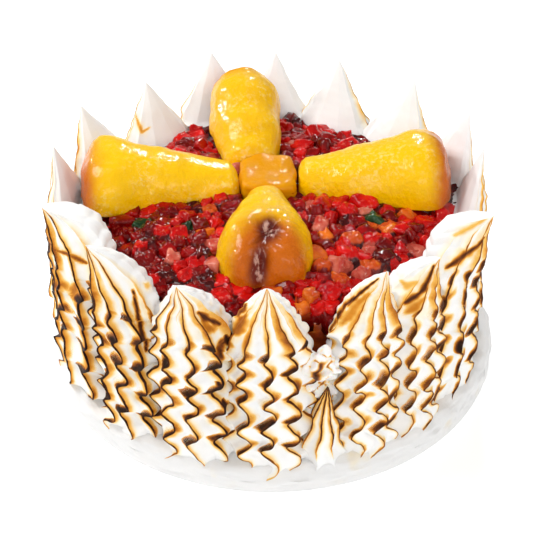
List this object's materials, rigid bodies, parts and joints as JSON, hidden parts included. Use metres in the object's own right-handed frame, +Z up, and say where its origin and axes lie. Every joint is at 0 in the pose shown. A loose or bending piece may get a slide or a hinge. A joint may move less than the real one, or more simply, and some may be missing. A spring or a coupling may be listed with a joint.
{
  "type": "torched meringue fruit cake",
  "caption": "Round cake wrapped in piped, torched meringue strokes, topped with diced fruit in jelly and poached pear halves laid in a cross.",
  "frame": {"origin": "centre of the flat underside", "axes": "+Z up, -Y towards the side with the small rosette, +X to the right seen from there"},
  "size_m": [0.2, 0.2, 0.0955],
  "materials": {
    "meringue": "white torched meringue, satin",
    "fruit_core": "orange-brown fruit side, moist",
    "jellied_fruit": "red jelly with diced candied fruit, glossy",
    "poached_pear": "glazed yellow pear, glossy",
    "glazed_pear_centre": "glazed orange-yellow pear, glossy"
  },
  "bodies": {
    "root": {"cake_core": "fruit_core", "fruit_topping": "jellied_fruit", "meringue_foot": "meringue", "pear_back": "poached_pear", "pear_centre": "glazed_pear_centre", "pear_front": "poached_pear", "pear_left": "poached_pear", "pear_right": "poached_pear", "petal_01": "meringue", "petal_02": "meringue", "petal_03": "meringue", "petal_04": "meringue", "petal_05": "meringue", "petal_06": "meringue", "petal_07": "meringue", "petal_08": "meringue", "petal_09": "meringue", "petal_10": "meringue", "petal_11": "meringue", "petal_12": "meringue", "petal_13": "meringue", "petal_14": "meringue", "petal_15": "meringue", "petal_16": "meringue", "rosette_small": "meringue"}
  },
  "joints": []
}
